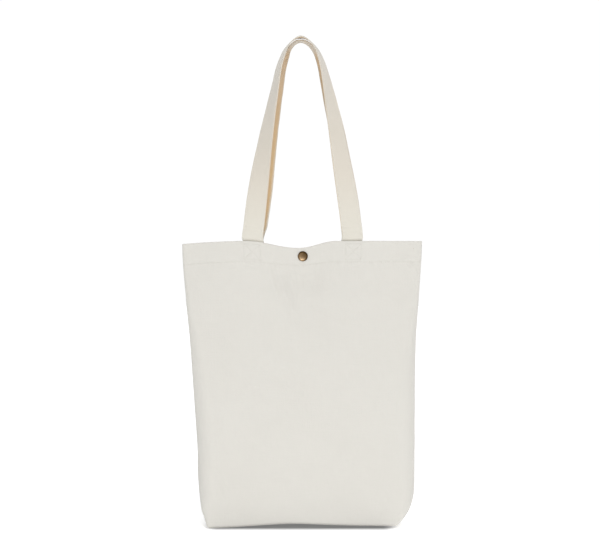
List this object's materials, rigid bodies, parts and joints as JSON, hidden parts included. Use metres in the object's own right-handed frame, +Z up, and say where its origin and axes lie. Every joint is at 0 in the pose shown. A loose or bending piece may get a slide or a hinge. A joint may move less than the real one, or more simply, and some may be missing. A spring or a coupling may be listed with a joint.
{
  "type": "canvas tote bag",
  "caption": "Standing canvas tote bag with sewn strap handles and a round antique-brass snap fastener that closes the mouth.",
  "frame": {"origin": "on the floor under the middle of the bag", "axes": "+Z up along the handles, +X across the mouth, the front with the snap's cap faces -Y"},
  "size_m": [0.36, 0.0779, 0.7376],
  "materials": {
    "canvas": "natural unbleached cotton canvas, plain weave, matte",
    "strap_canvas": "folded cotton canvas strap, matte",
    "thread": "cream cotton sewing thread",
    "antique_brass": "antique brass, dark rim and rubbed lighter crown",
    "spring_steel": "plain spring wire"
  },
  "bodies": {
    "bag": {"back_panel": "canvas", "base_panel": "canvas", "base_seam": "canvas", "left_side_seam": "canvas", "right_side_seam": "canvas", "back_hem": "canvas", "back_hem_stitching": "thread", "back_handle_ends": "strap_canvas", "back_left_box_stitching": "thread", "back_right_box_stitching": "thread", "snap_stud": "antique_brass", "snap_eyelet": "antique_brass"},
    "front": {"front_panel": "canvas", "front_hem": "canvas", "front_hem_stitching": "thread", "front_handle_ends": "strap_canvas", "front_left_box_stitching": "thread", "front_right_box_stitching": "thread", "snap_cap": "antique_brass", "snap_socket": "antique_brass", "snap_spring": "spring_steel"},
    "front_handle": {"front_handle": "strap_canvas", "front_handle_stitching": "thread"},
    "back_handle": {"back_handle": "strap_canvas", "back_handle_stitching": "thread"}
  },
  "joints": [
    {"name": "mouth_opening", "type": "hinge", "parent": "bag", "child": "front", "pos_m": [0, -0.039, 0], "axis": [1, 0, 0], "range_deg": [0, 10]},
    {"name": "front_handle_fold", "type": "hinge", "parent": "front", "child": "front_handle", "pos_m": [0, -0.015, 0.431], "axis": [1, 0, 0], "range_deg": [0, 170]},
    {"name": "back_handle_fold", "type": "hinge", "parent": "bag", "child": "back_handle", "pos_m": [0, 0.015, 0.431], "axis": [-1, 0, 0], "range_deg": [0, 170]}
  ]
}
